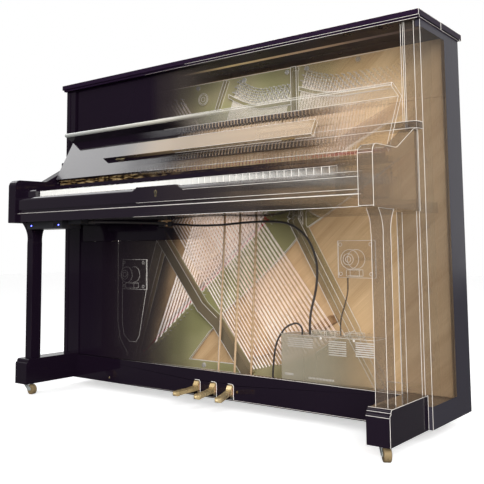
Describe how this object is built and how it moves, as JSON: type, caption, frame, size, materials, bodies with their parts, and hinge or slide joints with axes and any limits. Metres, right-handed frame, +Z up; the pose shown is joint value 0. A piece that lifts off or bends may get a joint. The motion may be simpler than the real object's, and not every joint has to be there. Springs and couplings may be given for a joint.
{
  "type": "upright piano",
  "caption": "Black upright piano with toe blocks, open fallboard, pedals, front casters and its iron plate, strings, keys and action inside",
  "frame": {"origin": "on the floor, in the middle of the plan", "axes": "+X along the keyboard towards the treble, +Y from the player to the back, +Z up"},
  "size_m": [1.52, 0.62, 1.21],
  "materials": {
    "black_lacquer": "black polyester lacquer, polished",
    "white_keys": "ivory-white acrylic tops on spruce",
    "black_keys": "matte black phenolic on spruce",
    "spruce": "clear satin varnish, diagonal grain",
    "maple": "oiled maple",
    "raw_spruce": "planed softwood, thin stain",
    "plate_gold": "bronze-gold painted casting",
    "nickel_pins": "nickel plated",
    "steel_wire": "bright music wire",
    "copper_wire": "copper winding on steel",
    "felt_and_wood": "pressed wool felt on birch",
    "muffler_felt": "thin wool felt on an aluminium rail",
    "action_wood": "birch and maple, waxed",
    "pedal_brass": "polished brass",
    "caster_steel": "chrome plated steel",
    "wheel_brass": "turned brass",
    "unit_steel": "grey powder coat",
    "driver_steel": "zinc and black steel",
    "panel_plastic": "fine matte black",
    "cable_sheath": "black sheath"
  },
  "bodies": {
    "case": {"action_frame": "action_wood", "amplifier_box": "unit_steel", "arm_left": "black_lacquer", "arm_right": "black_lacquer", "back_frame": "raw_spruce", "bass_strings": "copper_wire", "bottom_board": "raw_spruce", "bottom_rail": "black_lacquer", "bridges": "maple", "control_panel": "panel_plastic", "cross_rails": "black_lacquer", "iron_plate": "plate_gold", "key_blocks": "black_lacquer", "key_frame": "raw_spruce", "key_slip": "black_lacquer", "keybed": "black_lacquer", "leg_left": "black_lacquer", "leg_right": "black_lacquer", "lower_panel": "black_lacquer", "panel_ledge": "black_lacquer", "pin_block": "maple", "rear_caster_forks": "caster_steel", "side_panel_left": "black_lacquer", "side_panel_right": "black_lacquer", "soundboard": "spruce", "soundboard_drivers": "driver_steel", "toe_block_left": "black_lacquer", "toe_block_right": "black_lacquer", "top_lid_rear": "black_lacquer", "treble_strings": "steel_wire", "tuning_pins": "nickel_pins", "upper_panel": "black_lacquer", "wiring_loom": "cable_sheath"},
    "lid_flap": {"top_lid_front": "black_lacquer"},
    "fallboard": {"fallboard": "black_lacquer", "music_shelf": "black_lacquer"},
    "pedal_left": {"pedal_left": "pedal_brass"},
    "pedal_middle": {"pedal_middle": "pedal_brass"},
    "pedal_right": {"pedal_right": "pedal_brass"},
    "muffler_rail": {"muffler_rail": "muffler_felt"},
    "dampers": {"dampers": "felt_and_wood"},
    "hammers": {"hammers": "felt_and_wood"},
    "caster_fork_left": {"front_caster_fork_left": "caster_steel"},
    "caster_fork_right": {"front_caster_fork_right": "caster_steel"},
    "caster_wheel_left": {"front_caster_wheel_left": "wheel_brass"},
    "caster_wheel_right": {"front_caster_wheel_right": "wheel_brass"},
    "rear_wheel_left": {"rear_caster_wheel_left": "wheel_brass"},
    "rear_wheel_right": {"rear_caster_wheel_right": "wheel_brass"},
    "keys_c": {"keys_c": "white_keys"},
    "keys_c_sharp": {"keys_c_sharp": "black_keys"},
    "keys_d": {"keys_d": "white_keys"},
    "keys_d_sharp": {"keys_d_sharp": "black_keys"},
    "keys_e": {"keys_e": "white_keys"},
    "keys_f": {"keys_f": "white_keys"},
    "keys_f_sharp": {"keys_f_sharp": "black_keys"},
    "keys_g": {"keys_g": "white_keys"},
    "keys_g_sharp": {"keys_g_sharp": "black_keys"},
    "keys_a": {"keys_a": "white_keys"},
    "keys_a_sharp": {"keys_a_sharp": "black_keys"},
    "keys_b": {"keys_b": "white_keys"}
  },
  "joints": [
    {"name": "lid_flap_hinge", "type": "hinge", "parent": "case", "child": "lid_flap", "pos_m": [0, 0.135, 1.208], "axis": [-1, 0, 0], "range_deg": [0, 175]},
    {"name": "fallboard_hinge", "type": "hinge", "parent": "case", "child": "fallboard", "pos_m": [0, -0.1105, 0.7995], "axis": [1, 0, 0], "range_deg": [0, 119]},
    {"name": "pedal_left_hinge", "type": "hinge", "parent": "case", "child": "pedal_left", "pos_m": [-0.067, 0.06, 0.076], "axis": [1, 0, 0], "range_deg": [0, 6.5], "stiffness_Nm_per_rad": 20, "springref_deg": -14.32},
    {"name": "pedal_middle_hinge", "type": "hinge", "parent": "case", "child": "pedal_middle", "pos_m": [0.003, 0.06, 0.076], "axis": [1, 0, 0], "range_deg": [0, 6.5], "stiffness_Nm_per_rad": 30, "springref_deg": -14.32},
    {"name": "pedal_right_hinge", "type": "hinge", "parent": "case", "child": "pedal_right", "pos_m": [0.073, 0.06, 0.076], "axis": [1, 0, 0], "range_deg": [0, 6.5], "stiffness_Nm_per_rad": 20, "springref_deg": -14.32},
    {"name": "muffler_slide", "type": "slide", "parent": "case", "child": "muffler_rail", "axis": [0, 0, -1], "range_m": [0, 0.028]},
    {"name": "damper_hinge", "type": "hinge", "parent": "case", "child": "dampers", "pos_m": [0, 0.118, 0.885], "axis": [1, 0, 0], "range_deg": [0, 5]},
    {"name": "hammer_half_blow", "type": "hinge", "parent": "case", "child": "hammers", "pos_m": [0, 0.06, 0.866], "axis": [-1, 0, 0], "range_deg": [0, 8]},
    {"name": "key_c_dip", "type": "hinge", "parent": "case", "child": "keys_c", "pos_m": [0, -0.036, 0.725], "axis": [1, 0, 0], "range_deg": [0, 2.5], "stiffness_Nm_per_rad": 12, "springref_deg": -11.46},
    {"name": "key_c_sharp_dip", "type": "hinge", "parent": "case", "child": "keys_c_sharp", "pos_m": [0, -0.036, 0.725], "axis": [1, 0, 0], "range_deg": [0, 2.5], "stiffness_Nm_per_rad": 12, "springref_deg": -11.46},
    {"name": "key_d_dip", "type": "hinge", "parent": "case", "child": "keys_d", "pos_m": [0, -0.036, 0.725], "axis": [1, 0, 0], "range_deg": [0, 2.5], "stiffness_Nm_per_rad": 12, "springref_deg": -11.46},
    {"name": "key_d_sharp_dip", "type": "hinge", "parent": "case", "child": "keys_d_sharp", "pos_m": [0, -0.036, 0.725], "axis": [1, 0, 0], "range_deg": [0, 2.5], "stiffness_Nm_per_rad": 12, "springref_deg": -11.46},
    {"name": "key_e_dip", "type": "hinge", "parent": "case", "child": "keys_e", "pos_m": [0, -0.036, 0.725], "axis": [1, 0, 0], "range_deg": [0, 2.5], "stiffness_Nm_per_rad": 12, "springref_deg": -11.46},
    {"name": "key_f_dip", "type": "hinge", "parent": "case", "child": "keys_f", "pos_m": [0, -0.036, 0.725], "axis": [1, 0, 0], "range_deg": [0, 2.5], "stiffness_Nm_per_rad": 12, "springref_deg": -11.46},
    {"name": "key_f_sharp_dip", "type": "hinge", "parent": "case", "child": "keys_f_sharp", "pos_m": [0, -0.036, 0.725], "axis": [1, 0, 0], "range_deg": [0, 2.5], "stiffness_Nm_per_rad": 12, "springref_deg": -11.46},
    {"name": "key_g_dip", "type": "hinge", "parent": "case", "child": "keys_g", "pos_m": [0, -0.036, 0.725], "axis": [1, 0, 0], "range_deg": [0, 2.5], "stiffness_Nm_per_rad": 12, "springref_deg": -11.46},
    {"name": "key_g_sharp_dip", "type": "hinge", "parent": "case", "child": "keys_g_sharp", "pos_m": [0, -0.036, 0.725], "axis": [1, 0, 0], "range_deg": [0, 2.5], "stiffness_Nm_per_rad": 12, "springref_deg": -11.46},
    {"name": "key_a_dip", "type": "hinge", "parent": "case", "child": "keys_a", "pos_m": [0, -0.036, 0.725], "axis": [1, 0, 0], "range_deg": [0, 2.5], "stiffness_Nm_per_rad": 12, "springref_deg": -11.46},
    {"name": "key_a_sharp_dip", "type": "hinge", "parent": "case", "child": "keys_a_sharp", "pos_m": [0, -0.036, 0.725], "axis": [1, 0, 0], "range_deg": [0, 2.5], "stiffness_Nm_per_rad": 12, "springref_deg": -11.46},
    {"name": "key_b_dip", "type": "hinge", "parent": "case", "child": "keys_b", "pos_m": [0, -0.036, 0.725], "axis": [1, 0, 0], "range_deg": [0, 2.5], "stiffness_Nm_per_rad": 12, "springref_deg": -11.46},
    {"name": "caster_swivel_left", "type": "hinge", "parent": "case", "child": "caster_fork_left", "pos_m": [-0.709, -0.222, 0.037], "axis": [0, 0, 1], "continuous": true},
    {"name": "caster_swivel_right", "type": "hinge", "parent": "case", "child": "caster_fork_right", "pos_m": [0.709, -0.222, 0.037], "axis": [0, 0, 1], "continuous": true},
    {"name": "caster_roll_left", "type": "hinge", "parent": "caster_fork_left", "child": "caster_wheel_left", "pos_m": [-0.689, -0.222, 0.018], "axis": [0, 1, 0], "continuous": true},
    {"name": "caster_roll_right", "type": "hinge", "parent": "caster_fork_right", "child": "caster_wheel_right", "pos_m": [0.721, -0.238, 0.018], "axis": [0.8, 0.6, 0], "continuous": true},
    {"name": "rear_roll_left", "type": "hinge", "parent": "case", "child": "rear_wheel_left", "pos_m": [-0.64, 0.272, 0.018], "axis": [1, 0, 0], "continuous": true},
    {"name": "rear_roll_right", "type": "hinge", "parent": "case", "child": "rear_wheel_right", "pos_m": [0.64, 0.272, 0.018], "axis": [1, 0, 0], "continuous": true}
  ],
  "couplings": [
    {"joint": "hammer_half_blow", "follows": "pedal_left_hinge", "ratio": 1.2},
    {"joint": "muffler_slide", "follows": "pedal_middle_hinge", "m_per_rad": 0.24},
    {"joint": "damper_hinge", "follows": "pedal_right_hinge", "ratio": 0.75}
  ]
}
